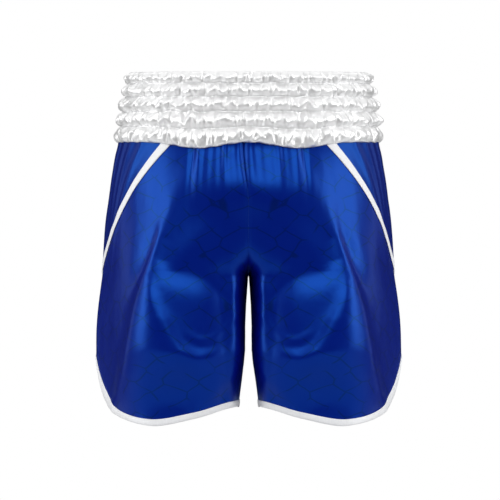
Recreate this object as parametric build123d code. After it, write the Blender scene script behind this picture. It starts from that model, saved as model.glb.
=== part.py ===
from build123d import *
import math
import os

# Boxing shorts, as worn on a body. Millimetres.
# The origin is the centre of the waist opening, level with the top edge of the waistband.
# +Z is up, the front faces -Y and the wearer's left side is +X.

# ---- overall sizes ----
waist_half_width = 160.0        # waistband, top edge, centre to side
waist_half_depth = 108.0        # waistband, top edge, centre to front
seam_half_width = 175.5         # waist seam, where band and panels meet
seam_half_front = 118.0         # waist seam, centre to front
seam_half_back = 118.0          # waist seam, centre to back
hip_half_width = 197.0          # body at crotch height
hip_half_front = 128.0
hip_half_back = 140.0
leg_half_width = 206.5          # outer side of a leg at the hem, from the centre plane
leg_half_front = 114.0
leg_half_back = 122.0
band_height = 98.0              # waistband, top edge to waist seam
rise = 172.0                    # waist seam down to the crotch
hem_drop = 377.5                # waist seam down to the lowest point of the hem
leg_spread = 0.075              # how fast each inseam leaves the centre plane, per mm down
rise_power = 2.4                # how late the body divides into two legs
inner_corner = 0.92             # how square the legs are at the inseam; 0.5523 would be round
seam_point = 0.30               # how sharply front and back meet at the side seam by the vent, 0 is an oval

# ---- cloth and trims ----
cloth = 1.2                     # panel, with its seam allowance
casing_cloth = 1.0              # each wall of the waistband casing
trim = 0.8                      # tape and binding thickness
tape_width = 7.5
binding_width = 8.5

# ---- waistband rows, top to bottom ----
row_heights = [15.0, 18.0, 20.0, 20.0, 25.0]
puff = 4.5                      # how far a row stands out past its stitch lines
inner_puff = 1.5
stitch_land = 1.6               # flat strip at each stitch line, where both walls meet
puff_shoulder = 4.0             # height over which a row swells out of its stitch line
elastic_thickness = 1.2
elastic_clearance = 0.3         # gap between an elastic and the casing's inner wall
elastic_edge_gap = 1.0          # elastic edge to the swell of the row, above and below
thread_thickness = 0.5
thread_height = 0.8

# ---- side insert: a V with curved sides, seen from the side ----
insert_half_width = 91.0        # at the waist seam, along Y
insert_depth = 164.0            # waist seam down to the point
insert_bow = 9.0                # how far the V's sides bow outwards

# ---- hem and side vent, seen from the front ----
vent_drop = 291.0               # waist seam down to the top of the vent
hem_low_at = 134.0              # distance of the hem's lowest point from the centre plane
inner_hem_lift = 25.0           # inner corner of the hem above its lowest point
vent_corner_in = 20.0           # how far in the vent edge is where it turns into the hem
vent_corner_up = 22.0           # and how far above the hem's lowest point
back_hem_extra = 2.0            # the back hem hangs this much lower than the front

seam_z = -band_height
crotch_z = seam_z - rise
hem_z = seam_z - hem_drop
round_share = 0.5523            # handle length that makes a cubic curve an ellipse quarter
overrun = 25.0                  # how far the uncut form runs past the seam and the hem
far = 400.0                     # larger than the garment, for cutting solids

os.makedirs("parts", exist_ok=True)


def save(name, shape):
    export_step(shape, "parts/" + name + ".step")


def mix(a, b, t):
    return a + (b - a) * t


def ease(t):
    return t * t * (3 - 2 * t)


# ---- the body's form ----

def side_reach(z):
    """Distance from the centre plane to the outer side, which swells quickly below the band."""
    if z > crotch_z:
        t = (seam_z - z) / rise
        return mix(seam_half_width, hip_half_width, math.sin(min(t, 1) * math.pi / 2) ** 0.8 if t > 0 else 0)
    t = (crotch_z - z) / (crotch_z - hem_z)
    return mix(hip_half_width, leg_half_width, math.sin(min(t * 2.2, 1) * math.pi / 2))


def depth(z, at_seam, at_hip, at_hem):
    if z > crotch_z:
        t = max((seam_z - z) / rise, 0)
        return mix(at_seam, at_hip, math.sin(t * math.pi / 2))
    return mix(at_hip, at_hem, ease(min((crotch_z - z) / (crotch_z - hem_z), 1)))


def half_section(z):
    """Centre and half width of the closed oval that one half of the body follows at a height."""
    reach = side_reach(z)
    if z > crotch_z:
        share = max((seam_z - z) / rise, 0) ** rise_power
        return reach * share / (1 + share), reach / (1 + share)
    gap = leg_spread * (crotch_z - z)
    return (reach + gap) / 2, (reach - gap) / 2


def side_point(z):
    """How pointed the section is at the side seam: an oval at the waist, a lens by the vent."""
    return seam_point * ease(min(max((seam_z - z) / vent_drop, 0), 1))


def inner_share(z):
    """Handle length of the inner quarters, round at the waist and squarer down to the crotch."""
    return mix(round_share, inner_corner, ease(min(max((seam_z - z) / rise, 0), 1)))


def quarter(centre, half_width, half_depth, point, z):
    """Quarter of a section, from the front or back of the form to its side."""
    side = centre + half_width
    share = round_share if half_width > 0 else inner_share(z)
    handle_in = (centre + share * half_width, half_depth, z)
    handle_out = (side - point * half_width, half_depth * share * (1 - point * 0.3), z)
    return Bezier((centre, half_depth, z), handle_in, handle_out, (side, 0, z))


def section(centre, half_width, half_front, half_back, point, z):
    """Closed outline at one height, pointed by point on its outer side and round elsewhere."""
    corners = [(half_width, half_back, point), (-half_width, half_back, 0),
               (-half_width, -half_front, 0), (half_width, -half_front, point)]
    edges = []
    for across, deep, sharp in corners:
        edges.append(quarter(centre, across, deep, sharp, z))
    return Wire([edge.edge() for edge in edges])


def half_form(offset):
    """Left half of the body as a closed form, its surface moved out by offset."""
    above = [0, 0.13, 0.29, 0.465, 0.63, 0.77, 0.885, 0.96]
    below = [0, 0.07, 0.165, 0.34, 0.535, 0.73, 0.88]
    heights = [seam_z + overrun]
    heights += [seam_z - rise * share for share in above]
    heights += [mix(crotch_z, hem_z, share) for share in below]
    heights.append(hem_z - overrun)
    sections = []
    for z in heights:
        centre, half_width = half_section(z)
        front = depth(z, seam_half_front, hip_half_front, leg_half_front) + offset
        back = depth(z, seam_half_back, hip_half_back, leg_half_back) + offset
        sections.append(section(centre, half_width + offset, front, back, side_point(z), z))
    return Solid.make_loft(sections)


def block(low, high):
    size = [h - l for l, h in zip(low, high)]
    middle = [(h + l) / 2 for l, h in zip(low, high)]
    return Pos(*middle) * Box(*size)


left_side = block((0, -far, seam_z - far * 2), (far, far, seam_z))
front_half = block((-far, -far, -far * 3), (far, 0, far))
back_half = block((-far, 0, -far * 3), (far, far, far))


# ---- seam and hem lines as prisms ----

def insert_prism(grow):
    """Prism along X whose outline is the side insert's V, moved out by grow on each side."""
    bottom_z = seam_z - insert_depth
    slant = math.hypot(insert_half_width, insert_depth)
    out_y = insert_depth / slant
    out_z = -insert_half_width / slant
    top = (insert_half_width + grow * slant / insert_depth, seam_z)
    middle = (insert_half_width / 2 + (insert_bow + grow) * out_y,
              seam_z - insert_depth / 2 + (insert_bow + grow) * out_z)
    point = (0, bottom_z - grow * slant / insert_half_width)
    right = ThreePointArc(top, middle, point)
    left = ThreePointArc(point, (-middle[0], middle[1]), (-top[0], top[1]))
    lid = Polyline((-top[0], top[1]), (-top[0], top[1] + 30), (top[0], top[1] + 30), top)
    outline = Plane.YZ * make_face([right, left, lid])
    return extrude(outline, far)


def hem_prism(lift, extra):
    """Everything above the hem line, as a prism along Y. lift moves the line up and in."""
    low = hem_z - extra + lift
    inner = (0, low + inner_hem_lift + leg_spread * lift)
    bottom = (hem_low_at, low)
    corner = (leg_half_width - vent_corner_in - lift * 0.7, low + vent_corner_up - lift * 0.3)
    side = (leg_half_width - lift * 0.1, seam_z - vent_drop + lift * 0.9)
    hem = Spline(inner, (hem_low_at * 0.55, low + inner_hem_lift * 0.36), bottom, corner, side,
                 tangents=[(1, -0.13), (0.1, 1)])
    rest = Polyline(side, (side[0] + 0.1, side[1] + 1), (far, side[1] + 1), (far, 0), (0, 0), inner)
    outline = Plane.XZ * make_face([hem, rest])
    return extrude(outline, far, both=True)


# ---- half shells and the panels cut from them ----

outer_form = half_form(0)
inner_form = half_form(-cloth)
shell = (outer_form - inner_form) & left_side
insert_cut = insert_prism(0)
front_hem = hem_prism(trim, 0)
back_hem = hem_prism(trim, back_hem_extra)

side_insert = shell & insert_cut
rest_of_shell = shell - insert_cut
front_panel = rest_of_shell & front_half & front_hem
back_panel = rest_of_shell & back_half & back_hem

# ---- hem bindings fold round the panels' edges, inside and out ----

tape_form = half_form(trim)
lining_form = half_form(-cloth - trim)
sleeve = (tape_form - lining_form) & left_side


def binding(half, extra, panel):
    strip = sleeve & half & hem_prism(0, extra)
    strip = strip - hem_prism(binding_width, extra)
    return strip - panel


binding_front = binding(front_half, 0, front_panel)
binding_back = binding(back_half, back_hem_extra, back_panel)

# ---- tapes on the insert's seams ----

tape_skin = (tape_form - outer_form) & left_side
tape = (tape_skin & insert_prism(tape_width / 2)) - insert_prism(-tape_width / 2)
tape_front = tape & front_half
tape_back = tape & back_half

# ---- waistband: two walls sewn together along each stitch line, an elastic in each channel ----

stitch_levels = [0.0]
for height in row_heights:
    stitch_levels.append(stitch_levels[-1] - height)
band_stretch = band_height / sum(row_heights)
stitch_levels = [level * band_stretch for level in stitch_levels]


def band_ring(profile):
    """Solid filled out to the wall that a profile of (z, offset) pairs gives, going down."""
    sections = []
    for z, offset in profile:
        t = -z / band_height
        half_width = mix(waist_half_width, seam_half_width, t) + offset
        half_front = mix(waist_half_depth, seam_half_front, t) + offset
        half_back = mix(waist_half_depth, seam_half_back, t) + offset
        sections.append(section(0, half_width, half_front, half_back, 0, z))
    return Solid.make_loft(sections, ruled=True)


def row_profile(rest, swell):
    """Wall that stands at rest on the stitch lines and swells out by swell in each row."""
    profile = [(0.0, rest)]
    for top, bottom in zip(stitch_levels, stitch_levels[1:]):
        first = top - stitch_land / 2
        last = bottom + stitch_land / 2
        profile.append((first, rest))
        profile.append((first - puff_shoulder * 0.4, rest + swell * 0.6))
        profile.append((first - puff_shoulder, rest + swell))
        profile.append((last + puff_shoulder, rest + swell))
        profile.append((last + puff_shoulder * 0.4, rest + swell * 0.6))
        profile.append((last, rest))
    profile.append((stitch_levels[-1], rest))
    return profile


outer_casing = band_ring(row_profile(casing_cloth, puff)) - band_ring(row_profile(0, puff))
inner_casing = band_ring(row_profile(0, -inner_puff)) - band_ring(row_profile(-casing_cloth, -inner_puff))
save("waistband_outer_casing", outer_casing)
save("waistband_inner_casing", inner_casing)

elastic_inset = stitch_land / 2 + puff_shoulder + elastic_edge_gap
elastic_inside = elastic_clearance - inner_puff
for row, (top, bottom) in enumerate(zip(stitch_levels, stitch_levels[1:]), start=1):
    ends = (top - elastic_inset, bottom + elastic_inset)
    filled = band_ring([(z, elastic_inside + elastic_thickness) for z in ends])
    hollow = band_ring([(z, elastic_inside) for z in ends])
    save("waist_elastic_%d" % row, filled - hollow)

threads = []
for level in stitch_levels[1:-1]:
    ends = (level + thread_height / 2, level - thread_height / 2)
    filled = band_ring([(z, casing_cloth + thread_thickness) for z in ends])
    threads.append(filled - band_ring([(z, casing_cloth) for z in ends]))
save("shirring_threads", Compound(children=threads))

sides = {
    "side_insert": side_insert,
    "front_panel": front_panel,
    "back_panel": back_panel,
    "hem_binding_front": binding_front,
    "hem_binding_back": binding_back,
    "side_tape_front": tape_front,
    "side_tape_back": tape_back,
}
for name, piece in sides.items():
    save(name + "_left", piece)
    save(name + "_right", piece.mirror(Plane.YZ))
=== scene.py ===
import bpy
import math
import numpy as np
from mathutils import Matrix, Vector, noise


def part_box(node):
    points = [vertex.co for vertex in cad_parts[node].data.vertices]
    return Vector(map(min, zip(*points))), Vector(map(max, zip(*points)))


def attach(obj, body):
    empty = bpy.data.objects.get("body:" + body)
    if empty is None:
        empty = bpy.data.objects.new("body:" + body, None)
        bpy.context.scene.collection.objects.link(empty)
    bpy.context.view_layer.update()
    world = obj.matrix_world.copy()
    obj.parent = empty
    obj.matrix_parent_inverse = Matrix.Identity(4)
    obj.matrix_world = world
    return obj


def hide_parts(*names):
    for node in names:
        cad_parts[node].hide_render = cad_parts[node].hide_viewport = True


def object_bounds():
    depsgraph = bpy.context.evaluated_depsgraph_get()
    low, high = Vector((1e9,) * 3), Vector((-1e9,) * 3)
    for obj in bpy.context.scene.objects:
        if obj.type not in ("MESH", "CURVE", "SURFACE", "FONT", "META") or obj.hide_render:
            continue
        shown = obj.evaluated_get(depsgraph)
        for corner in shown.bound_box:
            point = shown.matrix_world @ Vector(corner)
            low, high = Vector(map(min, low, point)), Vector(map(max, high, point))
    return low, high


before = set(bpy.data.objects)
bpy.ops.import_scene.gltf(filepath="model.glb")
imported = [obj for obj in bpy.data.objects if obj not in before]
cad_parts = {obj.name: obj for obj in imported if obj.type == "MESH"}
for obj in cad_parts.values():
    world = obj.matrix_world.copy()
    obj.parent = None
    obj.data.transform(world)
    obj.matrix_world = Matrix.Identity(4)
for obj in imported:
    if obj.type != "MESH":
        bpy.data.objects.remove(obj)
cadLow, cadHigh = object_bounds()

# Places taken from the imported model, metres

bandLow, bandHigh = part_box("waistband_inner_casing")
insertLow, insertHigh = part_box("side_insert_left")
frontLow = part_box("front_panel_left")[0]
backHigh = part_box("back_panel_left")[1]
frontHemLow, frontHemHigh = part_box("hem_binding_front_left")
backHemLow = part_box("hem_binding_back_left")[0]

seamZ = bandLow.z                     # waist seam
seamHalfWidth = bandHigh.x
seamHalfDepth = bandHigh.y
insertHalf = insertHigh.y             # side insert, half its width at the waist seam
insertPointZ = insertLow.z
hipFront = -frontLow.y
hipBack = backHigh.y
frontHemZ = frontHemLow.z
backHemZ = backHemLow.z
ventTopZ = frontHemHigh.z

form = {                              # the body that the cloth hangs on
    "rise": 0.172,                    # waist seam down to the crotch
    "hipHalfWidth": 0.197,
    "legHalfWidth": 0.2065,
    "legFront": 0.114,
    "legBack": 0.122,
    "legSpread": 0.075,
    "divideLate": 2.4,                # how late the body divides into two legs
    "innerCorner": 0.92,              # how square the legs are at the inseam
    "seamPoint": 0.30,                # how sharply front and back meet at the side seam, 0 is an oval
    "seamFlat": 0.3,                  # how much flatter the section runs next to that point
    "hipBulge": 0.8,                  # below 1 the hips reach their width higher up
    "legFill": 2.2,                   # above 1 the legs reach their width higher up
    "crotchEven": 0.007,              # height over which the body turns into legs
    "ventDrop": 0.291,
    "topHalfWidth": 0.160,            # waistband's top edge
    "topHalfDepth": 0.108,
    "cloth": 0.0007,
    "tuck": 0.0080,                   # how far the cloth reaches up under the waistband
}
crotchZ = seamZ - form["rise"]
topZ = seamZ + form["tuck"]
roundShare = 0.5523                   # handle length of a cubic ellipse quarter


def mix(a, b, t):
    return a + (b - a) * t


def ease(t):
    t = np.clip(t, 0, 1)
    return t * t * (3 - 2 * t)


def bump(d, width):
    return np.exp(-(d / width) ** 2)


def sideReach(z):
    up = np.clip((seamZ - z) / form["rise"], 0, 1)
    hips = mix(seamHalfWidth, form["hipHalfWidth"], np.sin(up * math.pi / 2) ** form["hipBulge"])
    down = np.clip((crotchZ - z) / (crotchZ - frontHemZ), 0, 1)
    filled = np.sin(np.minimum(down * form["legFill"], 1) * math.pi / 2)
    legs = mix(form["hipHalfWidth"], form["legHalfWidth"], filled)
    return np.where(z > crotchZ, hips, legs)


def depthAt(z, back):
    hip = hipBack if back else hipFront
    leg = form["legBack"] if back else form["legFront"]
    up = np.clip((seamZ - z) / form["rise"], 0, 1)
    down = ease((crotchZ - z) / (crotchZ - frontHemZ))
    return np.where(z > crotchZ, mix(seamHalfDepth, hip, np.sin(up * math.pi / 2)), mix(hip, leg, down))


def halfSectionAt(z):
    reach = sideReach(z)
    share = np.clip((seamZ - z) / form["rise"], 0, 1) ** form["divideLate"]
    gap = form["legSpread"] * np.maximum(crotchZ - z, 0)
    centre = np.where(z > crotchZ, reach * share / (1 + share), (reach + gap) / 2)
    return centre, reach - centre


# Centre and half width of one leg's section, evened out over the height of the crotch.
def halfSection(z):
    steps = np.linspace(-1, 1, 7) * form["crotchEven"]
    both = np.array([halfSectionAt(z + step) for step in steps]).mean(0)
    return both[0], both[1]


def cubic(a, b, c, d, t):
    s = 1 - t
    return s * s * s * a + 3 * s * s * t * b + 3 * s * t * t * c + t * t * t * d


# tau is 0 at the side seam, 1 at the front or back of the leg and 2 at the inseam.
def formPoint(tau, z, back):
    tau, z = np.broadcast_arrays(np.asarray(tau, float), np.asarray(z, float))
    centre, half = halfSection(z)
    deep = depthAt(z, back)
    point = form["seamPoint"] * ease((seamZ - z) / form["ventDrop"])
    outer = tau <= 1
    t = np.where(outer, 1 - tau, tau - 1)
    sharp = np.where(outer, point, 0)
    inner = mix(roundShare, form["innerCorner"], ease((seamZ - z) / form["rise"]))
    share = np.where(outer, roundShare, inner)
    across = cubic(0, share, 1 - sharp, 1, t) * half * np.where(outer, 1, -1)
    y = cubic(deep, deep, deep * share * (1 - form["seamFlat"] * sharp), 0, t)
    return np.stack([centre + across, y if back else -y, z], -1)


def formNormal(tau, z, back):
    step = 0.002
    tau = np.clip(tau, step, 2 - step)
    alongTau = formPoint(tau + step, z, back) - formPoint(tau - step, z, back)
    alongZ = formPoint(tau, z + step, back) - formPoint(tau, z - step, back)
    normal = np.cross(alongTau, alongZ) * (1 if back else -1)
    normal /= np.linalg.norm(normal, axis=-1, keepdims=True) + 1e-12
    return normal


# Seam and hem lines

# Smallest tau up to last at which the test holds, found by halving.
def findTau(test, z, last):
    low = np.zeros_like(z)
    high = low + last
    for _ in range(40):
        mid = (low + high) / 2
        passed = test(mid)
        high = np.where(passed, mid, high)
        low = np.where(passed, low, mid)
    return (low + high) / 2


# Place on the outer quarter of the section where the surface is y from the side seam plane.
def tauAtDepth(y, z, back):
    return findTau(lambda tau: np.abs(formPoint(tau, z, back)[..., 1]) >= y, z, 1.0)


def tauAtWidth(x, z, back):
    return findTau(lambda tau: formPoint(tau, z, back)[..., 0] <= x, z, 2.0)


insert = {"bow": 0.009}               # how far the V's sides bow outwards


# Distance of the V's side from the side seam plane, an arc through three points.
def insertLine(z):
    tall = seamZ - insertPointZ
    slant = math.hypot(insertHalf, tall)
    bow = insert["bow"]
    radius = (slant * slant / 4 + bow * bow) / (2 * bow)
    middleY = insertHalf / 2 + bow * tall / slant
    middleZ = seamZ - tall / 2 - bow * insertHalf / slant
    centreY = middleY - radius * tall / slant
    centreZ = middleZ + radius * insertHalf / slant
    return centreY + np.sqrt(np.maximum(radius ** 2 - (z - centreZ) ** 2, 0))


hem = {
    "width": 0.0085,                  # binding
    "edge": 0.0008,                   # cloth edge to the binding's fold
    "lowAt": 0.134,                   # hem's lowest point from the centre plane
    "innerLift": 0.0255,              # inner corner above the lowest point
    "middleAt": 0.55,                 # point between them: its share of the way out and of the lift
    "middleUp": 0.36,
    "cornerIn": 0.020,                # where the vent's edge turns into the hem
    "cornerUp": 0.022,
    "ventShare": 0.31,                # share of the edge that is the vent
    "innerWay": (1 / 1.01, -0.13 / 1.01),
    "ventWay": (0.1, 0.995),          # directions of the edge at its two ends
}


# Catmull-Rom line through the points, with its end directions where they are given.
def smoothLine(points, count, startWay=None, endWay=None):
    pts = [np.array(p, float) for p in points]
    tangents = []
    for i in range(len(pts)):
        a = pts[max(i - 1, 0)]
        b = pts[min(i + 1, len(pts) - 1)]
        tangents.append((b - a) * (0.5 if 0 < i < len(pts) - 1 else 1.0))
    if startWay is not None:
        tangents[0] = np.array(startWay) * np.linalg.norm(tangents[0])
    if endWay is not None:
        tangents[-1] = np.array(endWay) * np.linalg.norm(tangents[-1])
    line = []
    for i in range(len(pts) - 1):
        for t in np.linspace(0, 1, count, endpoint=False):
            h1 = 2 * t ** 3 - 3 * t ** 2 + 1
            h2 = t ** 3 - 2 * t ** 2 + t
            h3 = -2 * t ** 3 + 3 * t ** 2
            h4 = t ** 3 - t ** 2
            line.append(h1 * pts[i] + h2 * tangents[i] + h3 * pts[i + 1] + h4 * tangents[i + 1])
    line.append(pts[-1])
    return np.array(line)


# Hem from its inner corner to the top of the vent, in front view, as (x, z).
def hemLine(lift, back, count=24):
    low = (backHemZ if back else frontHemZ) + lift
    reach = form["legHalfWidth"]
    ventZ = ventTopZ - 0.9 * hem["width"] + 0.9 * lift     # the two bindings meet just under its top
    inner = (form["legSpread"] * (crotchZ - low - hem["innerLift"]), low + hem["innerLift"])
    middle = (hem["lowAt"] * hem["middleAt"], low + hem["innerLift"] * hem["middleUp"])
    corner = (reach - hem["cornerIn"] - 0.7 * lift, low + hem["cornerUp"] - 0.3 * lift)
    side = (reach, ventZ)
    points = [inner, middle, (hem["lowAt"], low), corner, side]
    return smoothLine(points, count, hem["innerWay"], hem["ventWay"])


# The same line as (tau, z) on the form.
def hemOnForm(lift, back, count=24):
    line = hemLine(lift, back, count)
    tau = tauAtWidth(line[:, 0], line[:, 1], back)
    tau[0] = 2
    tau[-1] = 0
    return np.stack([tau, line[:, 1]], -1)


# The centre seam above the crotch and the inseam below it.
def centreTau(z, back):
    return np.where(z > crotchZ, tauAtWidth(np.zeros_like(z) + 1e-6, z, back), 2.0)


# Panel grids

def runAlong(line):
    return np.concatenate([[0], np.cumsum(np.linalg.norm(np.diff(line, axis=0), axis=1))])


# Coons patch between four lines of (tau, z), then smoothed inside.
def fill(top, bottom, left, right, smoothing=60):
    rows, cols = len(left), len(top)
    u = np.linspace(0, 1, cols)[None, :, None]
    v = np.linspace(0, 1, rows)[:, None, None]
    grid = (1 - v) * top[None] + v * bottom[None] + (1 - u) * left[:, None] + u * right[:, None]
    grid -= (1 - u) * (1 - v) * top[0] + u * (1 - v) * top[-1] + (1 - u) * v * bottom[0] + u * v * bottom[-1]
    for _ in range(smoothing):
        inside = (grid[:-2, 1:-1] + grid[2:, 1:-1] + grid[1:-1, :-2] + grid[1:-1, 2:]) / 4
        grid[1:-1, 1:-1] = mix(grid[1:-1, 1:-1], inside, 0.8)
    return grid


# Front or back panel as (tau, z), from the side and vent to the centre seam and inseam.
def panelGrid(back, rows, cols):
    edge = hemOnForm(hem["edge"], back)[::-1]
    length = runAlong(formPoint(edge[:, 0], edge[:, 1], back))
    cornerRun = length[-1] * hem["ventShare"]
    vent = edge[length <= cornerRun]
    hemPart = edge[length >= cornerRun]
    hemPart = np.concatenate([vent[-1:], hemPart])
    zs = np.linspace(topZ, insertPointZ, 60)
    seam = np.stack([tauAtDepth(insertLine(zs), zs, back), zs], -1)
    seam[-1, 0] = 0
    left = np.concatenate([seam, [[0, edge[0, 1]]], vent[1:]])
    left = evenlyOnForm(left, rows, back)
    zs = np.linspace(topZ, crotchZ, 90)
    rise = np.stack([centreTau(zs, back), zs], -1)
    rise[-1, 0] = 2
    right = np.concatenate([rise, [[2, hemPart[-1, 1]]]])
    right = evenlyOnForm(right, rows, back)
    top = np.stack([np.linspace(left[0, 0], right[0, 0], 60), np.full(60, topZ)], -1)
    top = evenlyOnForm(top, cols, back)
    bottom = evenlyOnForm(hemPart, cols, back)
    return fill(top, bottom, left, right)


# The line with its points spread evenly over the form.
def evenlyOnForm(line, count, back):
    dense = np.concatenate([mixSpan(line[i], line[i + 1], 12) for i in range(len(line) - 1)] + [line[-1:]])
    run = runAlong(formPoint(dense[:, 0], dense[:, 1], back))
    at = np.linspace(0, run[-1], count)
    return np.stack([np.interp(at, run, dense[:, k]) for k in range(2)], -1)


def mixSpan(a, b, count):
    t = np.linspace(0, 1, count, endpoint=False)[:, None]
    return a * (1 - t) + b * t


# Side insert as (tau, z), tau negative towards the front.
def insertGrid(rows, cols):
    zs = np.linspace(topZ, insertPointZ, rows)
    front = tauAtDepth(insertLine(zs), zs, False)
    back = tauAtDepth(insertLine(zs), zs, True)
    u = np.linspace(0, 1, cols)[None]
    tau = -front[:, None] * (1 - u) + back[:, None] * u
    return np.stack([tau, np.broadcast_to(zs[:, None], tau.shape)], -1)


# Folds
# Each fold is a line in front view, (distance from the centre, z), with its heights along it in
# metres and how wide it is on its outer and inner side. Left and right mirror each other.

frontFolds = {
    "thighEdge": {                    # long fold down the outside of the thigh
        "points": [(0.082, -0.112), (0.090, -0.150), (0.103, -0.185), (0.120, -0.220), (0.131, -0.250),
                   (0.137, -0.280), (0.145, -0.325), (0.151, -0.365), (0.159, -0.402), (0.169, -0.432),
                   (0.180, -0.450)],
        "heights": [0, 0.0015, 0.0025, 0.003, 0.0038, 0.0062, 0.0088, 0.0096, 0.0086, 0.0062, 0.0035],
        "outer": [0.025, 0.022, 0.014, 0.006, 0.006, 0.009, 0.012, 0.013, 0.013, 0.011, 0.008],
        "inner": [0.030, 0.030, 0.022, 0.010, 0.012, 0.030, 0.040, 0.042, 0.040, 0.032, 0.018],
    },
    "hipGroove": {                    # hollow outside it at the hip
        "points": [(0.118, -0.205), (0.132, -0.235), (0.148, -0.268), (0.166, -0.305), (0.176, -0.345)],
        "heights": [0, -0.003, -0.0035, -0.0018, 0],
        "outer": [0.010, 0.012, 0.014, 0.018, 0.02],
        "inner": [0.005, 0.006, 0.008, 0.012, 0.012],
    },
    "thighCup": {                     # rim of the cupped cloth over the thigh
        "points": [(0.131, -0.279), (0.127, -0.305), (0.116, -0.334), (0.104, -0.358), (0.090, -0.376),
                   (0.072, -0.385), (0.052, -0.382), (0.033, -0.371), (0.018, -0.356)],
        "heights": [0.001, 0.0046, 0.0058, 0.0060, 0.0060, 0.0056, 0.0046, 0.0030, 0.0012],
        "outer": [0.010, 0.020, 0.028, 0.032, 0.034, 0.034, 0.030, 0.026, 0.022],
        "inner": [0.006, 0.009, 0.010, 0.010, 0.010, 0.010, 0.011, 0.012, 0.012],
    },
    "cupArc": {                       # faint second line inside the cup
        "points": [(0.098, -0.330), (0.082, -0.350), (0.062, -0.359), (0.040, -0.349), (0.018, -0.327)],
        "heights": [0, 0.0010, 0.0012, 0.0012, 0.0006],
        "outer": [0.006] * 5,
        "inner": [0.004] * 5,
    },
    "groinLine": {
        "points": [(0.053, -0.244), (0.050, -0.262), (0.042, -0.283), (0.026, -0.302)],
        "heights": [0, 0.0009, 0.0010, 0],
        "outer": [0.003] * 4,
        "inner": [0.004] * 4,
    },
    "groinCrease": {                  # where the belly meets the thigh
        "points": [(0.128, -0.272), (0.100, -0.270), (0.073, -0.273), (0.047, -0.283), (0.024, -0.300)],
        "heights": [-0.001, -0.0030, -0.0036, -0.0034, -0.0015],
        "outer": [0.014, 0.018, 0.020, 0.018, 0.014],
        "inner": [0.030, 0.034, 0.036, 0.030, 0.020],
    },
    "hemFlare": {                     # the cloth turns in by the inner corner of the hem
        "points": [(0.020, -0.392), (0.036, -0.412), (0.052, -0.430), (0.070, -0.450), (0.078, -0.462)],
        "heights": [0.0010, 0.0050, 0.0062, 0.0060, 0.0045],
        "outer": [0.018, 0.022, 0.026, 0.028, 0.028],
        "inner": [0.010, 0.014, 0.016, 0.018, 0.018],
    },
}

backFolds = {
    "seatEdge": {
        "points": [(0.070, -0.125), (0.084, -0.170), (0.104, -0.215), (0.122, -0.262), (0.136, -0.310),
                   (0.144, -0.360), (0.152, -0.410), (0.166, -0.445)],
        "heights": [0, 0.0015, 0.002, 0.003, 0.0045, 0.0055, 0.005, 0.003],
        "outer": [0.020, 0.018, 0.012, 0.010, 0.012, 0.014, 0.014, 0.012],
        "inner": [0.030, 0.028, 0.020, 0.018, 0.024, 0.028, 0.026, 0.018],
    },
    "underSeat": {                    # fold under the seat, running in to the crotch
        "points": [(0.118, -0.300), (0.095, -0.312), (0.070, -0.315), (0.045, -0.308), (0.020, -0.292)],
        "heights": [0, -0.003, -0.0045, -0.004, -0.0015],
        "outer": [0.010] * 5,
        "inner": [0.022] * 5,
    },
    "seatDrop": {
        "points": [(0.112, -0.318), (0.096, -0.352), (0.074, -0.376), (0.048, -0.380), (0.022, -0.366)],
        "heights": [0, 0.0025, 0.0035, 0.003, 0.001],
        "outer": [0.016] * 5,
        "inner": [0.009] * 5,
    },
    "hemFlare": {
        "points": [(0.024, -0.398), (0.044, -0.424), (0.062, -0.450), (0.070, -0.465)],
        "heights": [0, 0.0025, 0.003, 0.002],
        "outer": [0.016] * 4,
        "inner": [0.010] * 4,
    },
}


def foldHeight(fold, x, z):
    count = 14
    keys = np.array(fold["points"])
    line = smoothLine(keys, count)
    at = np.linspace(0, len(keys) - 1, len(line))
    values = [np.interp(at, np.arange(len(keys)), fold[key]) for key in ("heights", "outer", "inner")]
    along = np.gradient(line, axis=0)
    along /= np.linalg.norm(along, axis=1, keepdims=True)
    flat = np.stack([x.ravel(), z.ravel()], -1)
    height = np.zeros(len(flat))
    for start in range(0, len(flat), 4000):
        part = flat[start:start + 4000]
        away = part[:, None] - line[None]
        gap = np.linalg.norm(away, axis=2)
        near = gap.argmin(1)
        pick = np.arange(len(part))
        side = along[near, 0] * away[pick, near, 1] - along[near, 1] * away[pick, near, 0]
        width = np.where(side > 0, values[1][near], values[2][near])
        height[start:start + 4000] = values[0][near] * bump(gap[pick, near], width)
    return height.reshape(x.shape)


gathers = {                           # pleats below the waistband
    "frontAt": [0.009, 0.019, 0.031, 0.041, 0.052, 0.064, -0.008, -0.018, -0.029, -0.042, -0.053, -0.065],
    "backAt": [0.012, 0.026, 0.039, 0.055, 0.070, 0.088, -0.013, -0.025, -0.041, -0.054, -0.071, -0.087],
    "sideAt": [-0.068, -0.051, -0.036, -0.020, -0.006, 0.012, 0.027, 0.043, 0.058, 0.072],
    "height": 0.0021,
    "width": 0.0042,
    "length": 0.062,                  # how far down they run
    "sideLength": 0.11,
    "fromDepth": 0.070,               # distance from the side seam plane where they start
    "creaseAt": 0.0745,               # deeper crease at each end of the front gathers
    "creaseDepth": 0.0028,
    "creaseWidth": 0.0035,
    "creaseLength": 0.05,
}


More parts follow.
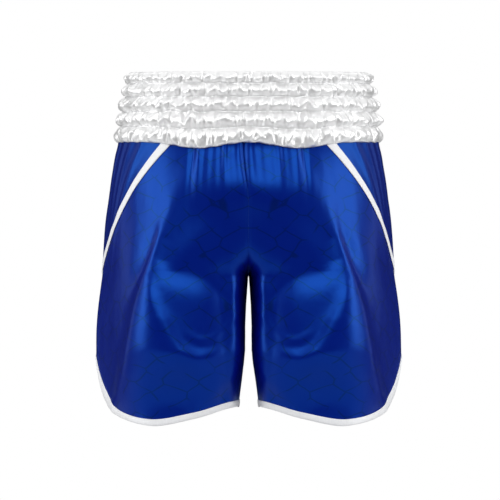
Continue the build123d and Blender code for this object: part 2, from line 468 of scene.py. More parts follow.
# Height of the pleats: each is a narrow round ridge that fades and spreads on its way down.
def gatherHeight(x, y, z):
    g = gathers
    down = np.maximum(seamZ - z, 0)
    fade = np.exp(-(down / g["length"]) ** 1.6)
    fan = 1 + 0.6 * down
    height = np.zeros_like(x)
    front = ease((-y - g["fromDepth"]) / 0.03)
    backward = ease((y - g["fromDepth"]) / 0.03)
    for places, share, step, first in ((g["frontAt"], front, 2.4, 1), (g["backAt"], backward, 1.9, 2)):
        for i, at in enumerate(places):
            tall = 0.7 + 0.5 * math.sin(i * step + first)
            height += share * fade * g["height"] * tall * bump(x - at * fan, g["width"] * (1 + 4 * down))
    sideways = ease((np.abs(x) - 0.10) / 0.05)
    longFade = np.exp(-(down / g["sideLength"]) ** 1.6)
    for i, at in enumerate(g["sideAt"]):
        tall = 0.6 + 0.4 * math.sin(i * 2.7 + 0.5)
        narrow = 1 - down / (seamZ - insertPointZ) * 0.55
        height += sideways * longFade * g["height"] * tall * bump(y - at * narrow, g["width"])
    crease = bump(np.abs(x) - g["creaseAt"] - 0.06 * down, g["creaseWidth"])
    height -= front * g["creaseDepth"] * (crease * np.exp(-(down / g["creaseLength"]) ** 2))
    return height


thigh = {                             # cloth pushed forward over the thigh, fullest low down
    "centre": 0.082,
    "halfWidth": 0.056,
    "top": -0.268,
    "topDrop": 0.042,                 # how much lower it starts near the inseam
    "topSpan": 0.065,
    "full": -0.374,
    "bottom": -0.455,
    "height": 0.0170,
    "flare": 0.0120,                  # how far the leg's inner edge stands forward
    "flareFrom": 0.040,               # where the flare starts, from the centre plane
    "flareSpan": 0.030,
    "flareTop": -0.250,
    "flareDrop": 0.050,
}


def thighHeight(wide, z):
    across = bump((wide - thigh["centre"]) / thigh["halfWidth"], 1)
    top = thigh["top"] - thigh["topDrop"] * ease((thigh["centre"] - wide) / thigh["topSpan"])
    down = np.clip((top - z) / (top - thigh["full"]), 0, 1) ** 1.1
    back = ease((z - thigh["bottom"]) / (thigh["full"] - thigh["bottom"]))
    return thigh["height"] * across * np.where(z > thigh["full"], down, back)


# How far forward the leg's inner edge is pushed.
def flareAt(p):
    wide, y, z = np.abs(p[..., 0]), p[..., 1], p[..., 2]
    down = ease((thigh["flareTop"] - z) / thigh["flareDrop"])
    inward = ease((thigh["flareFrom"] - wide) / thigh["flareSpan"])
    return thigh["flare"] * down * inward * ease((-0.02 - y) / 0.06)


belly = {"height": 0.0110, "at": -0.156, "tall": 0.038, "wide": 0.088}

seams = {
    "centreDepth": 0.0022,
    "centreWidth": 0.0030,
    "lean": 0.0065,                   # how far the front seam leans to one side at the waist
}

# uneven lie of the cloth: (height, scales of the noise along x, y and z, its start along z)
unevenness = ((0.0018, (14, 9, 9), 3), (0.00035, (60, 60, 26), 7))


def cloudHeight(p, scales, start):
    a, b, c = scales
    heights = [noise.noise(Vector((x * a, y * b, z * c + start))) for x, y, z in p.reshape(-1, 3)]
    return np.array(heights).reshape(p.shape[:-1])


# How far the cloth stands off the form at each point of it.
def skinHeight(p, back):
    x, y, z = p[..., 0], p[..., 1], p[..., 2]
    wide = np.abs(x)
    height = np.zeros_like(x)
    facing = ease((np.abs(y) - 0.008) / 0.03)
    for fold in (backFolds if back else frontFolds).values():
        height += foldHeight(fold, wide, z) * facing
    height += gatherHeight(x, y, z)
    centre = bump(x, seams["centreWidth"]) * ease((np.abs(y) - 0.02) / 0.04)
    height -= seams["centreDepth"] * centre * mix(0.35, 1, ease((z + 0.20) / 0.08))
    if not back:
        full = belly["height"] * bump(z - belly["at"], belly["tall"]) * bump(x / belly["wide"], 1)
        height += full * ease((seamZ - z) / 0.02)
        height += thighHeight(wide, z)
    uneven = sum(tall * cloudHeight(p, scales, start) for tall, scales, start in unevenness)
    return height + uneven * ease((seamZ - z) / 0.03)


# Point of the cloth's outside and its normal, for the left half or, mirrored, the right.
def clothPoint(tau, z, back, mirror=1):
    place = formPoint(tau, z, back)
    normal = formNormal(tau, z, back)
    signed = place * np.array([mirror, 1, 1])
    move = normal * skinHeight(signed, back)[..., None]
    move[..., 0] *= np.where(z > crotchZ, ease(place[..., 0] / 0.010), 1)    # the halves meet at the seam
    forward = 0 if back else flareAt(place)
    place = place + move
    place[..., 0] = np.maximum(place[..., 0], 0)
    place[..., 1] -= forward
    place = place * np.array([mirror, 1, 1])
    lean = seams["lean"] * (0 if back else 1) * ease((z + 0.18) / 0.08) * bump(place[..., 0], 0.03)
    place[..., 0] -= lean
    return place, normal * np.array([mirror, 1, 1])


# Meshes

def newMesh(name, points, faces, material=None, smooth=True):
    mesh = bpy.data.meshes.new(name)
    mesh.from_pydata([tuple(p) for p in points], [], faces)
    mesh.validate()
    mesh.update()
    if smooth:
        mesh.shade_smooth()
    obj = bpy.data.objects.new(name, mesh)
    bpy.context.scene.collection.objects.link(obj)
    if material:
        mesh.materials.append(material)
    return obj


def gridFaces(rows, cols, flip=False, closed=False):
    faces = []
    last = cols if closed else cols - 1
    for r in range(rows - 1):
        for c in range(last):
            d = (c + 1) % cols
            quad = (r * cols + c, r * cols + d, (r + 1) * cols + d, (r + 1) * cols + c)
            faces.append(quad[::-1] if flip else quad)
    return faces


def thicken(obj, thickness):
    bpy.context.view_layer.objects.active = obj
    solid = obj.modifiers.new("thickness", "SOLIDIFY")
    solid.thickness = thickness
    solid.offset = -1.0
    solid.use_even_offset = False
    bpy.ops.object.modifier_apply(modifier=solid.name)


def putUv(obj, uv):
    layer = obj.data.uv_layers.new(name="cloth")
    flat = uv.reshape(-1, 2)
    loops = np.empty(len(obj.data.loops), dtype=int)
    obj.data.loops.foreach_get("vertex_index", loops)
    layer.data.foreach_set("uv", flat[loops].astype(np.float32).ravel())


# A thickened sheet of cloth that stands for one node of the model.
def makeCloth(name, place, faces, material, uv, thickness, node):
    obj = newMesh(name, place.reshape(-1, 3), faces, material)
    putUv(obj, uv)
    thicken(obj, thickness)
    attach(obj, "root")
    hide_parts(node)
    return obj


# Metres round the section from the side seam, and up.
def clothUv(tau, z, back):
    steps = np.linspace(0, 1, 25)
    ring = formPoint(np.abs(tau)[..., None] * steps, z[..., None], back)
    run = np.linalg.norm(np.diff(ring, axis=-2), axis=-1).sum(-1)
    return np.stack([run * (1 if back else -1), z], -1)


# Materials

def newMaterial(name):
    material = bpy.data.materials.new(name)
    material.use_nodes = True
    tree = material.node_tree
    return material, tree, tree.nodes["Principled BSDF"]


def addNode(tree, kind, values=None, **settings):
    node = tree.nodes.new(kind)
    for key, value in settings.items():
        setattr(node, key, value)
    for key, value in (values or {}).items():
        node.inputs[key].default_value = value
    return node


def maths(tree, operation, a, b=None, c=None):
    node = addNode(tree, "ShaderNodeMath", operation=operation)
    for slot, value in enumerate((a, b, c)):
        if value is None:
            continue
        if isinstance(value, (int, float)):
            node.inputs[slot].default_value = value
        else:
            tree.links.new(value, node.inputs[slot])
    return node.outputs[0]


# Cloth place: the piece's own cloth UV in metres, or its place in the object where it has none.
def clothPlace(tree, hasUv):
    if hasUv:
        return addNode(tree, "ShaderNodeUVMap", uv_map="cloth").outputs[0]
    return addNode(tree, "ShaderNodeTexCoord").outputs["Object"]


# Noise stretched along one way of the cloth: size is a grain's width, across and up, in metres.
def grain(tree, place, size, detail=2.0):
    scaled = addNode(tree, "ShaderNodeMapping")
    scaled.inputs["Scale"].default_value = tuple(1 / s for s in size)
    tree.links.new(place, scaled.inputs["Vector"])
    noiseNode = addNode(tree, "ShaderNodeTexNoise", {"Scale": 1.0, "Detail": detail})
    tree.links.new(scaled.outputs[0], noiseNode.inputs["Vector"])
    return noiseNode.outputs["Fac"]


# Over-and-under weave: one thread over and one under take up the pitch, in metres.
def weave(tree, place, pitch):
    apart = addNode(tree, "ShaderNodeSeparateXYZ")
    tree.links.new(place, apart.inputs[0])
    turn = 2 * math.pi / pitch
    warp = maths(tree, "SINE", maths(tree, "MULTIPLY", apart.outputs[0], turn))
    weft = maths(tree, "SINE", maths(tree, "MULTIPLY", apart.outputs[1], turn))
    return maths(tree, "MULTIPLY", warp, weft)


def addBump(tree, shader, layers):
    normal = None
    for height, strength, distance in layers:
        node = addNode(tree, "ShaderNodeBump", {"Strength": strength, "Distance": distance})
        tree.links.new(height, node.inputs["Height"])
        if normal is not None:
            tree.links.new(normal, node.inputs["Normal"])
        normal = node.outputs[0]
    tree.links.new(normal, shader.inputs["Normal"])


satin = {
    "blue": (0.0003, 0.0040, 0.225, 1),
    "line": (0.0002, 0.0022, 0.135, 1),
    "insertBlue": (0.0003, 0.0040, 0.20, 1),
    "roughness": 0.33,
    "metal": 0.38,
    "gloss": 0.8,
    "glossTint": (0.08, 0.66, 1.0, 1),
    "fibreSize": (0.0005, 0.004, 1),
    "crinkleSize": (0.007, 0.012, 1),
    "weavePitch": 0.0007,
    "lineWidth": 0.0012,
    "cellWidth": 0.030,               # net of fine lines in the cloth
    "cellHeight": 0.022,
    "lineBend": 0.006,
}


# Net of fine broken lines, 1 on a line and 0 between them.
def netOfLines(tree, place):
    bend = addNode(tree, "ShaderNodeTexNoise", {"Scale": 55.0, "Detail": 0.0})
    tree.links.new(place, bend.inputs["Vector"])
    pushed = addNode(tree, "ShaderNodeVectorMath", operation="MULTIPLY_ADD")
    tree.links.new(bend.outputs["Color"], pushed.inputs[0])
    pushed.inputs[1].default_value = (satin["lineBend"], satin["lineBend"], 0)
    tree.links.new(place, pushed.inputs[2])
    scale = (1 / satin["cellWidth"], 1 / satin["cellHeight"], 0)
    scaled = addNode(tree, "ShaderNodeMapping", {"Scale": scale})
    tree.links.new(pushed.outputs[0], scaled.inputs["Vector"])
    turned = addNode(tree, "ShaderNodeMapping", {"Rotation": (0, 0, math.radians(45))})
    tree.links.new(scaled.outputs[0], turned.inputs["Vector"])
    cells = addNode(tree, "ShaderNodeTexVoronoi", {"Scale": 0.9, "Randomness": 0.42})
    cells.feature = "DISTANCE_TO_EDGE"
    tree.links.new(turned.outputs[0], cells.inputs["Vector"])
    edge = maths(tree, "DIVIDE", cells.outputs["Distance"], satin["lineWidth"] / satin["cellHeight"] / 2)
    line = maths(tree, "SUBTRACT", 1.6, edge)
    breaks = addNode(tree, "ShaderNodeTexNoise", {"Scale": 42.0, "Detail": 0.0})
    tree.links.new(place, breaks.inputs["Vector"])
    kept = maths(tree, "MULTIPLY_ADD", breaks.outputs["Fac"], 8.0, -2.7)
    for value in (line, kept):
        value.node.use_clamp = True
    return maths(tree, "MULTIPLY", line, kept)


# Base colour that goes from one colour to another with the factor.
def blendBase(tree, shader, factor, first, second):
    base = addNode(tree, "ShaderNodeMix", data_type="RGBA")
    base.inputs["A"].default_value = first
    base.inputs["B"].default_value = second
    tree.links.new(factor, base.inputs["Factor"])
    tree.links.new(base.outputs["Result"], shader.inputs["Base Color"])


def satinMaterial(name, patterned):
    material, tree, shader = newMaterial(name)
    shader.inputs["Metallic"].default_value = satin["metal"]
    shader.inputs["Specular IOR Level"].default_value = satin["gloss"]
    shader.inputs["Specular Tint"].default_value = satin["glossTint"]
    shader.inputs["Base Color"].default_value = satin["insertBlue"]
    place = clothPlace(tree, True)
    fibre = grain(tree, place, satin["fibreSize"])
    crinkle = grain(tree, place, satin["crinkleSize"], 3.0)
    threads = weave(tree, place, satin["weavePitch"])
    addBump(tree, shader, [(crinkle, 0.12, 0.0012), (fibre, 0.10, 0.0002), (threads, 0.06, 0.0001)])
    rough = maths(tree, "MULTIPLY_ADD", fibre, 0.10, satin["roughness"] - 0.05)
    tree.links.new(rough, shader.inputs["Roughness"])
    if patterned:
        blendBase(tree, shader, netOfLines(tree, place), satin["blue"], satin["line"])
    return material


# Each white: light and dark of its grain, roughness, gloss, metal, grain size and weave pitch in metres,
# how strong its crinkle is, and whether it lies on the cloth's own UV.
whites = {
    "waistSatin": ((0.93, 0.931, 0.934, 1), (0.84, 0.842, 0.846, 1), 0.36, 0.7, 0.60,
                   (0.006, 0.018, 0.006), 0.0007, 0.06, True),
    "lining": ((0.82, 0.825, 0.84, 1), (0.74, 0.746, 0.765, 1), 0.55, 0.3, 0,
               (0.003, 0.010, 0.003), 0.0010, 0.30, True),
    "tapeWeave": ((0.80, 0.805, 0.82, 1), (0.70, 0.706, 0.725, 1), 0.50, 0.4, 0,
                  (0.002, 0.006, 0.002), 0.0011, 0.20, True),
    "bindingSatin": ((0.80, 0.805, 0.82, 1), (0.68, 0.686, 0.71, 1), 0.38, 0.6, 0,
                     (0.003, 0.005, 0.003), 0.0008, 0.30, True),
    "elasticRib": ((0.78, 0.785, 0.80, 1), (0.55, 0.56, 0.59, 1), 0.75, 0.2, 0,
                   (0.0012, 0.0012, 0.004), 0.0016, 0.40, False),
    "threadTwist": ((0.88, 0.885, 0.90, 1), (0.66, 0.67, 0.70, 1), 0.45, 0.5, 0,
                    (0.0006, 0.0006, 0.0006), 0.0009, 0.30, False),
}
whiteFibre = (0.0005, 0.003, 0.0005)


def whiteMaterial(name):
    light, dark, roughness, gloss, metal, size, pitch, crinkled, hasUv = whites[name]
    material, tree, shader = newMaterial(name)
    shader.inputs["Specular IOR Level"].default_value = gloss
    shader.inputs["Metallic"].default_value = metal
    shader.inputs["Sheen Weight"].default_value = 0.15
    shader.inputs["Sheen Roughness"].default_value = 0.4
    place = clothPlace(tree, hasUv)
    crinkle = grain(tree, place, size, 3.0)
    fibre = grain(tree, place, whiteFibre)
    threads = weave(tree, place, pitch)
    addBump(tree, shader, [(crinkle, crinkled, 0.0010), (fibre, 0.2, 0.0002), (threads, 0.15, 0.0001)])
    blendBase(tree, shader, crinkle, dark, light)
    rough = maths(tree, "MULTIPLY_ADD", fibre, 0.16, roughness - 0.08)
    tree.links.new(rough, shader.inputs["Roughness"])
    return material


blueSatin = satinMaterial("blueSatin", True)
blueInsert = satinMaterial("blueInsertSatin", False)
whiteCloth = {name: whiteMaterial(name) for name in whites}


# Panels

panel = {
    "rows": 150,
    "cols": 112,
    "insertRows": 70,
    "insertCols": 80,
    "flat": (0.34, 0.40),             # cut size of each panel's cloth
    "flatArea": 0.108,
    "insertFlat": (0.20, 0.17),
    "insertArea": 0.0195,
    "insertRun": 0.2,                 # metres of cloth that one step of tau stands for, for its weave
}


def makePanel(side, mirror, part, back):
    grid = panelGrid(back, panel["rows"], panel["cols"])
    tau, z = grid[..., 0], grid[..., 1]
    place = clothPoint(tau, z, back, mirror)[0]
    faces = gridFaces(panel["rows"], panel["cols"], flip=(mirror == 1) == back)
    obj = makeCloth(part + "Panel" + side.capitalize(), place, faces, blueSatin, clothUv(tau, z, back),
                    form["cloth"], part + "_panel_" + side)


def makeInsert(side, mirror):
    grid = insertGrid(panel["insertRows"], panel["insertCols"])
    tau, z = grid[..., 0], grid[..., 1]
    front = clothPoint(np.maximum(-tau, 0), z, False, mirror)[0]
    rear = clothPoint(np.maximum(tau, 0), z, True, mirror)[0]
    place = np.where((tau < 0)[..., None], front, rear)
    faces = gridFaces(panel["insertRows"], panel["insertCols"], flip=mirror == 1)
    uv = np.stack([tau * panel["insertRun"], z], -1)
    obj = makeCloth("sideInsert" + side.capitalize(), place, faces, blueInsert, uv, form["cloth"],
                    "side_insert_" + side)


sides = (("left", 1), ("right", -1))
halves = (("front", False), ("back", True))

for side, mirror in sides:
    for part, back in halves:
        makePanel(side, mirror, part, back)
    makeInsert(side, mirror)
    print("panels and insert", side)


# Stitches: short rounds of thread laid along a line on the cloth

thread = {"length": 0.0025, "gap": 0.0010, "radius": 0.00030, "sides": 6}

# a stitch from end to end: (share of its length, share of its radius, how high it lies in radii)
stitchSection = ((-0.5, 0.35, -0.5), (-0.38, 0.9, -0.1), (0.0, 1.0, 0.1), (0.38, 0.9, -0.1),
                 (0.5, 0.35, -0.5))


def stitchPoints(line, outward, closed=False):
    if closed:
        line = np.concatenate([line, line[:1]])
        outward = np.concatenate([outward, outward[:1]])
    run = runAlong(line)
    pitch = thread["length"] + thread["gap"]
    count = int(run[-1] / pitch)
    centres = (np.arange(count) + 0.5) * run[-1] / count
    points, faces = [], []
    n = thread["sides"]
    for at in centres:
        ends = [np.array([np.interp(at + d, run, line[:, k]) for k in range(3)]) for d in (-0.001, 0.001)]
        along = ends[1] - ends[0]
        along /= np.linalg.norm(along) + 1e-12
        up = np.array([np.interp(at, run, outward[:, k]) for k in range(3)])
        up -= along * up.dot(along)
        up /= np.linalg.norm(up) + 1e-12
        across = np.cross(along, up)
        middle = (ends[0] + ends[1]) / 2
        first = len(points)
        for share, thick, lie in stitchSection:
            centre = middle + along * share * thread["length"] + up * lie * thread["radius"]
            for k in range(n):
                turn = 2 * math.pi * k / n
                out = (across * math.cos(turn) + up * math.sin(turn)) * thread["radius"] * thick
                points.append(centre + out)
        for ring in range(len(stitchSection) - 1):
            for k in range(n):
                a = first + ring * n + k
                b = first + ring * n + (k + 1) % n
                faces.append((a, b, b + n, a + n))
        faces.append(tuple(first + k for k in reversed(range(n))))
        faces.append(tuple(len(points) - n + k for k in range(n)))
    return points, faces


def makeStitches(name, rows, closed=False):
    points, faces = [], []
    for line, outward in rows:
        newPoints, newFaces = stitchPoints(line, outward, closed)
        start = len(points)
        points += newPoints
        faces += [tuple(start + v for v in face) for face in newFaces]
    obj = newMesh(name, points, faces, whiteCloth["threadTwist"])
    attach(obj, "root")
    return obj


# Side tapes, sewn over the seams of the V inserts

tape = {
    "half": 0.00375,
    "thick": 0.0006,
    "stand": 0.0005,                  # how far its edges stand off the cloth
    "crown": 0.0003,
    "rows": 130,
    "cols": 9,
    "stitchIn": 0.0010,
    "stitchStand": 0.00015,
    "stitchedTo": 0.93,               # share of its length that shows two rows
    "pastPoint": 0.045,               # how far it runs past the V's point, share of the V's height
    "flat": (0.200, 0.010),           # cut with its edges to turn under
}


# Points across the tape: share 0 is its lower edge, 1 its upper edge.
def tapeOnForm(shares, back):
    tall = seamZ - insertPointZ
    zs = np.linspace(topZ, insertPointZ - tape["pastPoint"] * tall, tape["rows"])
    line = np.stack([insertLine(zs), zs], -1)
    along = np.gradient(line, axis=0)
    along /= np.linalg.norm(along, axis=1, keepdims=True)
    across = np.stack([-along[:, 1], along[:, 0]], -1)
    low = np.maximum(-tape["half"], -line[:, 0] / across[:, 0])
    low = np.minimum(low, tape["half"] * 0.96)
    width = mix(low[:, None], tape["half"], np.asarray(shares)[None, :])
    spot = line[:, None] + across[:, None] * width[..., None]
    y = np.maximum(spot[..., 0], 0)
    tau = np.where(y <= 1e-7, 0, tauAtDepth(y, spot[..., 1], back))
    return tau, spot[..., 1], width


def makeTape(side, mirror, part, back):
    shares = np.linspace(0, 1, tape["cols"])
    tau, z, width = tapeOnForm(shares, back)
    place, normal = clothPoint(tau, z, back, mirror)
    rise = tape["stand"] + tape["crown"] * (1 - (2 * shares[None] - 1) ** 2)
    place = place + normal * rise[..., None]
    faces = gridFaces(tape["rows"], tape["cols"], flip=(mirror == 1) != back)
    uv = np.stack([width, np.broadcast_to(z, width.shape)], -1)
    name = "sideTape" + part.capitalize() + side.capitalize()
    obj = makeCloth(name, place, faces, whiteCloth["tapeWeave"], uv, tape["thick"],
                    "side_tape_" + part + "_" + side)
    inset = tape["stitchIn"] / (2 * tape["half"])
    tau, z, width = tapeOnForm([inset, 1 - inset], back)
    place, normal = clothPoint(tau, z, back, mirror)
    place = place + normal * (tape["stand"] + tape["stitchStand"])
    last = int(tape["rows"] * tape["stitchedTo"])
    return [(place[:last, k], normal[:last, k]) for k in range(2)]


# Make the strips of each side, then the rows of stitches that hold them.
def sewOn(makeStrip, stitches):
    for side, mirror in sides:
        rows = []
        for part, back in halves:
            rows += makeStrip(side, mirror, part, back)
        makeStitches(stitches + side.capitalize(), rows)


sewOn(makeTape, "tapeStitches")
print("side tapes")


# Hem and vent bindings: a strip folded round the panel's edge

binding = {
    "columns": 64,                    # for each stretch between the hem line's points
    "thick": 0.0004,
    "pucker": 0.00022,
    "puckerLength": 0.0055,
    "stitchIn": 0.0013,
    "stitchOut": 0.0008,              # stitches above the cloth outside, and below it inside
    "stitchBelow": 0.0017,
    "step": 0.0014,                   # about one column and one row of its mesh, metres
    "rowStep": 0.0011,
    "flat": (0.36, 0.018),
}

# its section, from the outside's stitched edge round the fold to the inside: (share of width, stand)
bindingSection = [(1.0, 0.0002), (0.97, 0.0006), (0.86, 0.0007), (0.7, 0.0010), (0.5, 0.0012), (0.3, 0.0012),
                  (0.12, 0.0010), (0.02, 0.0006), (-0.05, 0.0001), (-0.06, -0.0006), (-0.03, -0.0012),
                  (0.08, -0.0016), (0.3, -0.0019), (0.6, -0.0018), (0.85, -0.0015), (0.92, -0.0013),
                  (0.94, -0.0009)]


def makeBinding(side, mirror, part, back):
    places = []
    for share, stand in bindingSection:
        line = hemOnForm(share * hem["width"], back, binding["columns"])
        place, normal = clothPoint(line[:, 0], line[:, 1], back, mirror)
        run = np.arange(len(line)) * binding["step"]
        wave = np.array([noise.noise(Vector((r / binding["puckerLength"], share * 1.3, 4.0))) for r in run])
        lift = stand + math.copysign(binding["pucker"], stand) * wave * bump(share - 0.45, 0.5)
        places.append(place + normal * lift[:, None])
    grid = np.array(places)
    rows, cols = grid.shape[:2]
    faces = gridFaces(rows, cols, flip=(mirror == 1) != back)
    u = np.broadcast_to(np.arange(cols) * binding["step"], (rows, cols))
    v = np.broadcast_to(np.arange(rows)[:, None] * binding["rowStep"], (rows, cols))
    name = "hemBinding" + part.capitalize() + side.capitalize()
    obj = makeCloth(name, grid, faces, whiteCloth["bindingSatin"], np.stack([u, v], -1), binding["thick"],
                    "hem_binding_" + part + "_" + side)
    line = hemOnForm(hem["width"] - binding["stitchIn"], back, binding["columns"])
    place, normal = clothPoint(line[:, 0], line[:, 1], back, mirror)
    outside = (place + normal * binding["stitchOut"], normal)
    inside = (place - normal * binding["stitchBelow"], -normal)
    return [outside, inside]


sewOn(makeBinding, "hemStitches")
print("hem bindings")


# Waistband: two gathered walls over five elastics

band = {
    "rowHeights": (0.015, 0.018, 0.020, 0.020, 0.025),
    "rowSteps": (11, 13, 14, 14, 16),
    "columns": 640,
    "land": 0.0010,                   # cloth's height at the stitch lines
    "puff": (0.0064, 0.0076, 0.0084, 0.0084, 0.0076),
    "fullAt": (0.50, 0.52, 0.54, 0.54, 0.48),             # where each row is fullest, share of its height
    "creaseGap": (0.0080, 0.0200),
    "creaseDepth": (0.0022, 0.0062),
    "creaseWidth": (0.0009, 0.0026),
    "creaseLean": 0.0014,
    "creaseFade": 0.22,               # share of the row's height over which a short crease ends
    "puckerHeight": 0.00045,          # fine puckers next to the stitches
    "puckerPitch": 0.0042,
    "puckerReach": 0.0018,
    "edgeUp": 0.0038,                 # its lower edge above the waist seam
    "scallop": 0.0088,                # how far the lower edge dips at each side of the front and back
    "scallopAt": 0.067,
    "scallopWidth": 0.042,
    "lip": 0.0012,
    "cloth": 0.0006,
    "flat": (1.10, 0.125),            # cut size before gathering
    "liningColumns": 380,
    "liningSteps": (7, 8, 9, 9, 11),
    "liningPuff": 0.0016,
    "liningCloth": 0.00042,
    "liningCrease": 0.35,             # its creases, as a share of the casing's
    "liningIn": 0.003,                # clear of the panels' pleats at its lower edge
    "liningInFrom": -0.082,
    "liningFlat": (1.02, 0.108),
    "seed": 17,
}
halfTop = (form["topHalfWidth"], form["topHalfDepth"])
halfBottom = (seamHalfWidth, seamHalfDepth)


# Turns round the band at even steps of its run, that run in metres, and the whole of it.
def bandTurns(columns):
    dense = np.linspace(0, 2 * math.pi, 4001)
    a = (halfTop[0] + halfBottom[0]) / 2
    b = (halfTop[1] + halfBottom[1]) / 2
    steps = np.hypot(np.diff(a * np.cos(dense)), np.diff(b * np.sin(dense)))
    run = np.concatenate([[0], np.cumsum(steps)])
    at = np.arange(columns) / columns * run[-1]
    return np.interp(at, run, dense), at, run[-1]


def bandPoint(turn, z, stand):
    down = np.clip(z / seamZ, 0, 1.2)
    a = mix(halfTop[0], halfBottom[0], down)
    b = mix(halfTop[1], halfBottom[1], down)
    outX = np.cos(turn) / a
    outY = np.sin(turn) / b
    size = np.hypot(outX, outY)
    outX, outY = outX / size, outY / size
    x = a * np.cos(turn) + outX * stand
    y = b * np.sin(turn) + outY * stand
    return np.stack([x, y, z + 0 * x], -1), np.stack([outX, outY, 0 * outX], -1)


# Smooth unevenness that closes on itself round the band.
def wander(run, around, size, rng, waves=9):
    total = 0
    for _ in range(waves):
        turns = max(1, round(around / size * rng.uniform(0.35, 1.3)))
        total = total + np.cos(2 * math.pi * turns * run / around + rng.uniform(0, 6.28))
    return total / math.sqrt(waves / 2)


# How far the cloth stands out over one row: a puff, uneven pillows in it and creases from stitch line to
# stitch line. down is 0 at its upper stitch line and 1 at its lower.
def gatheredRow(run, around, down, tall, puff, fullAt, rng, creased):
    s, f = run[None], down[:, None]
    full = np.clip(fullAt + 0.07 * wander(s, around, 0.020, rng), 0.3, 0.8)
    bend = math.log(0.5) / np.log(full)
    profile = np.sin(math.pi * np.clip(f ** bend, 0, 1)) ** 0.8
    pillow = 1 + 0.15 * wander(s, around, 0.030, rng) + 0.05 * wander(s + 0.02 * f, around, 0.014, rng)
    height = puff * profile * pillow
    hold = 0.15 + 0.85 * profile
    at = rng.uniform(*band["creaseGap"])
    while at < around:
        depth = rng.uniform(*band["creaseDepth"]) * creased
        wide = rng.uniform(*band["creaseWidth"])
        kind = rng.random()
        start = -1 if kind < 0.80 else rng.uniform(0.2, 0.6)
        stop = 2 if kind > 0.20 else rng.uniform(0.45, 0.95)
        lean = rng.uniform(-band["creaseLean"], band["creaseLean"])
        centre = at + lean * (f - 0.5) + 0.0006 * np.sin(f * 5 + at * 900)
        away = (s - centre + around / 2) % around - around / 2
        reach = ease((f - start) / band["creaseFade"]) * ease((stop - f) / band["creaseFade"])
        valley = np.exp(-(np.sqrt(away ** 2 + 0.0004 ** 2) - 0.0004) / wide)
        shoulder = 0.22 * bump(np.abs(away) - 2.6 * wide, 1.6 * wide)
        height = height - depth * (valley - shoulder) * reach * hold
        at += rng.uniform(*band["creaseGap"])
    near = np.minimum(f, 1 - f) * tall
    puckers = round(around / band["puckerPitch"])
    small = np.cos(2 * math.pi * s / around * puckers + 2.2 * wander(s, around, 0.03, rng))
    height = height + band["puckerHeight"] * small * np.exp(-near / band["puckerReach"])
    return np.maximum(height, -0.0003)


def lowerEdge(x):
    return -band["scallop"] * bump(np.abs(x) - band["scallopAt"], band["scallopWidth"])


def buildBand(columns, steps, puffs, land, inward, seed):
    rng = np.random.default_rng(seed)
    turn, run, around = bandTurns(columns)
    x = halfBottom[0] * np.cos(turn)
    y = halfBottom[1] * np.sin(turn)
    zRows, standRows, stitchRows = [], [], []
    lines = [0 * run]
    for base in -np.cumsum(band["rowHeights"]):
        lines.append(base + 0.0004 * wander(run, around, 0.03, rng))
    lines[-1] = seamZ + 0.0003 * wander(run, around, 0.02, rng) + lowerEdge(x) * (0 if inward else 1)
    lines[-1] = lines[-1] + (0 if inward else band["edgeUp"])
    lines[-2] = lines[-2] + 0.45 * lowerEdge(x) * (0 if inward else 1)
    for k, tall in enumerate(band["rowHeights"]):
        down = np.linspace(0, 1, steps[k] + 1)
        creased = band["liningCrease"] if inward else 1.0
        height = gatheredRow(run, around, down, tall, puffs[k], band["fullAt"][k], rng, creased)
        z = lines[k][None] * (1 - down[:, None]) + lines[k + 1][None] * down[:, None]
        last = k == len(band["rowHeights"]) - 1
        if last and not inward:
            pleat = gatherHeight(x, y, np.full_like(x, seamZ))
            lip = (band["lip"] + pleat)[None] * ease((down[:, None] - 0.55) / 0.45)
            height = np.maximum(height, 0) * (1 - 0.15 * down[:, None]) + lip
        if k:
            height, z = height[1:], z[1:]
        zRows.append(z)
        standRows.append(height)
        stitchRows.append(sum(len(part) for part in zRows) - 1)
    z = np.concatenate(zRows)
    stand = np.concatenate(standRows)
    if inward:
        stand = -land - stand - band["liningIn"] * ease((band["liningInFrom"] - z) / 0.010)
    else:
        stand = land + stand
    return turn, z, stand, stitchRows[:-1]


def bandWall(name, turn, z, stand, inward, white, node):
    place = bandPoint(turn[None], z, stand)[0]
    faces = gridFaces(*z.shape, flip=not inward, closed=True)
    run = bandTurns(len(turn))[1]
    uv = np.stack([np.broadcast_to(run, z.shape), z], -1)
    thickness = band["liningCloth"] if inward else band["cloth"]
    return makeCloth(name, place, faces, whiteCloth[white], uv, thickness, node)


def makeCasing():
    turn, z, stand, stitched = buildBand(band["columns"], band["rowSteps"], band["puff"], band["land"],
                                         False, band["seed"])
    fold = [(0.0002, -0.0006), (0.0008, -0.0001), (0.0007, 0.0006)]   # cloth turned over the top edge
    z = np.concatenate([[z[0] + up for up, out in fold], z])
    stand = np.concatenate([[np.full(len(turn), out) for up, out in fold], stand])
    obj = bandWall("waistbandCasing", turn, z, stand, False, "waistSatin", "waistband_outer_casing")
    lines = []
    for row in stitched:
        k = row + len(fold)
        line, normal = bandPoint(turn, z[k], stand[k] + 0.0001)
        lines.append((line, normal))
    threads = makeStitches("shirringThreads", lines, closed=True)
    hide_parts("shirring_threads")


def makeLining():
    turn, z, stand = buildBand(band["liningColumns"], band["liningSteps"], [band["liningPuff"]] * 5,
                               0.0001, True, band["seed"] + 1)[:3]
    obj = bandWall("waistbandLining", turn, z, stand, True, "lining", "waistband_inner_casing")


makeCasing()
makeLining()
for row in range(len(band["rowHeights"])):
    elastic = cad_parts["waist_elastic_%d" % (row + 1)]
    elastic.data.materials.clear()
    elastic.data.materials.append(whiteCloth["elasticRib"])
print("waistband")


# Camera, light and floor

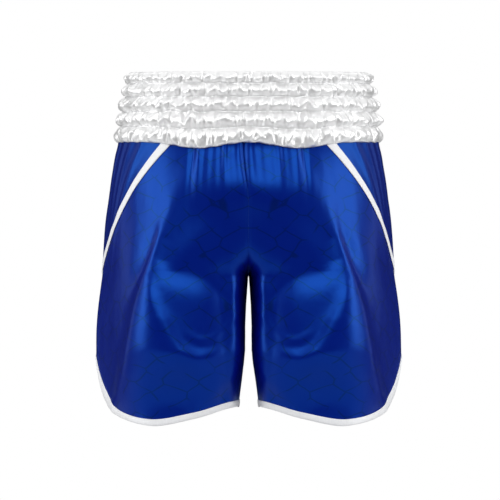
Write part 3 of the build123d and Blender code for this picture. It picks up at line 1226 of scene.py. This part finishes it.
studio = {
    "distance": 14.0,
    "frameHeight": 0.6775,            # height that the camera takes in at the shorts
    "aimHeight": -0.2398,
    "aimSide": 0.002,
    "floorDrop": 0.22,
    "floorHalf": 1.1,
    "roomAbove": 0.75,
    "roomBelow": 0.04,
    "roomGloss": 0.05,                # light mirrored from the sides of the room
    "ceilingFrom": 0.30,
    "ceilingGain": 1.5,               # how fast mirrored light grows towards the ceiling
    "sideWatts": 19,
    "topWatts": 26,
    "backWatts": 12,
    "rearWatts": 3,
    "lightAim": (0, 0, -0.24),
    "floorColour": (0.62, 0.62, 0.62, 1),
}


def addCamera():
    data = bpy.data.cameras.new("camera")
    data.sensor_width = 36
    data.lens = 36 * studio["distance"] / studio["frameHeight"]
    camera = bpy.data.objects.new("camera", data)
    camera.location = (studio["aimSide"], -studio["distance"], studio["aimHeight"])
    camera.rotation_euler = (math.pi / 2, 0, 0)
    bpy.context.scene.collection.objects.link(camera)
    bpy.context.scene.camera = camera


def addLight(name, place, size, watts):
    data = bpy.data.lights.new(name, "AREA")
    data.shape = "RECTANGLE"
    data.size, data.size_y = size
    data.energy = watts
    light = bpy.data.objects.new(name, data)
    light.location = place
    aim = Vector(studio["lightAim"]) - Vector(place)
    light.rotation_euler = aim.to_track_quat("-Z", "Y").to_euler()
    bpy.context.scene.collection.objects.link(light)


# The room is white to the eye and a soft even light, with little to mirror in the satin.
def addWorld():
    world = bpy.data.worlds.new("studio")
    bpy.context.scene.world = world
    world.use_nodes = True
    tree = world.node_tree
    lit = tree.nodes["Background"]
    lit.inputs["Color"].default_value = (1, 1, 1, 1)
    way = addNode(tree, "ShaderNodeSeparateXYZ")
    tree.links.new(addNode(tree, "ShaderNodeTexCoord").outputs["Generated"], way.inputs[0])
    half = (studio["roomAbove"] - studio["roomBelow"]) / 2
    strength = maths(tree, "MULTIPLY_ADD", way.outputs[2], half, studio["roomBelow"] + half)
    tree.links.new(strength, lit.inputs["Strength"])
    seen = addNode(tree, "ShaderNodeBackground", {"Color": (1, 1, 1, 1), "Strength": 1.0})
    mirrored = addNode(tree, "ShaderNodeBackground", {"Color": (1, 1, 1, 1)})
    ceiling = maths(tree, "MULTIPLY_ADD", way.outputs[2], studio["ceilingGain"],
                    -studio["ceilingGain"] * studio["ceilingFrom"])
    tree.links.new(maths(tree, "MAXIMUM", ceiling, studio["roomGloss"]), mirrored.inputs["Strength"])
    path = addNode(tree, "ShaderNodeLightPath")
    room = lit
    for ray, light in (("Is Glossy Ray", mirrored), ("Is Camera Ray", seen)):
        either = addNode(tree, "ShaderNodeMixShader")
        tree.links.new(path.outputs[ray], either.inputs[0])
        tree.links.new(room.outputs[0], either.inputs[1])
        tree.links.new(light.outputs[0], either.inputs[2])
        room = either
    tree.links.new(room.outputs[0], tree.nodes["World Output"].inputs["Surface"])


def addFloor():
    half = studio["floorHalf"]
    z = cadLow.z - studio["floorDrop"]
    corners = [(-half, -half, z), (half, -half, z), (half, half, z), (-half, half, z)]
    material, tree, shader = newMaterial("paleFloor")
    place = clothPlace(tree, False)
    shader.inputs["Base Color"].default_value = studio["floorColour"]
    shader.inputs["Specular IOR Level"].default_value = 0.1
    rough = maths(tree, "MULTIPLY_ADD", grain(tree, place, (0.02, 0.02, 0.02)), 0.1, 0.8)
    tree.links.new(rough, shader.inputs["Roughness"])
    newMesh("floor", corners, [(0, 1, 2, 3)], material, smooth=False)


addCamera()
addWorld()
addFloor()
for name, way in (("left", -1), ("right", 1)):
    addLight(name + "Light", (1.95 * way, -0.62, 0.25), (0.9, 1.8), studio["sideWatts"])
    addLight(name + "RearLight", (2.0 * way, 0.75, 0.1), (0.6, 1.6), studio["rearWatts"])
addLight("topLight", (0, -2.1, 1.15), (2.2, 1.2), studio["topWatts"])
addLight("backLight", (0, 1.9, 1.3), (2.4, 1.2), studio["backWatts"])
bpy.context.scene.view_settings.view_transform = "Standard"
print("camera, light and floor")
